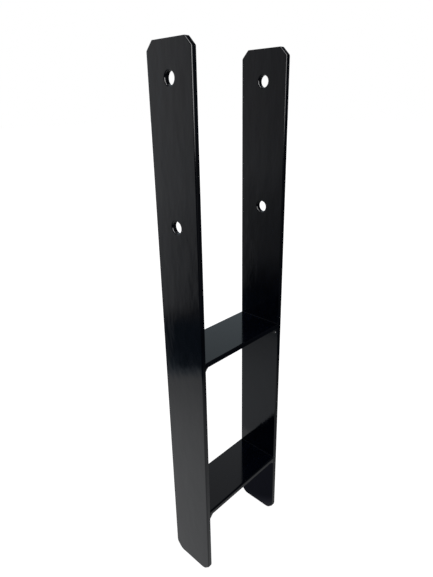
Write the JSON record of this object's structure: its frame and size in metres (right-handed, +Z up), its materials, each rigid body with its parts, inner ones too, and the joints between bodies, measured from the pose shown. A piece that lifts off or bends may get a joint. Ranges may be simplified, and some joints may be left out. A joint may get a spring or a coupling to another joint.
{
  "type": "post anchor",
  "caption": "H-shaped post anchor of welded flat steel bar: upright bars with clipped ends and bolt holes clasp a timber post on a cross plate, and the lower half is cast into concrete.",
  "frame": {"origin": "middle of the two feet, on the surface that the bars stand on", "axes": "+Z up along the bars, +X across the gap along the bolt holes, +Y across the width of the bars"},
  "size_m": [0.14, 0.06, 0.62],
  "materials": {
    "bar_paint": "gloss black",
    "plate_paint": "gloss black",
    "weld_paint": "gloss black over a rippled weld bead"
  },
  "bodies": {
    "root": {"left_bar": "bar_paint", "right_bar": "bar_paint", "seat_plate": "plate_paint", "tie_plate": "plate_paint", "seat_weld_left": "weld_paint", "seat_weld_right": "weld_paint", "tie_weld_left": "weld_paint", "tie_weld_right": "weld_paint"}
  },
  "joints": []
}
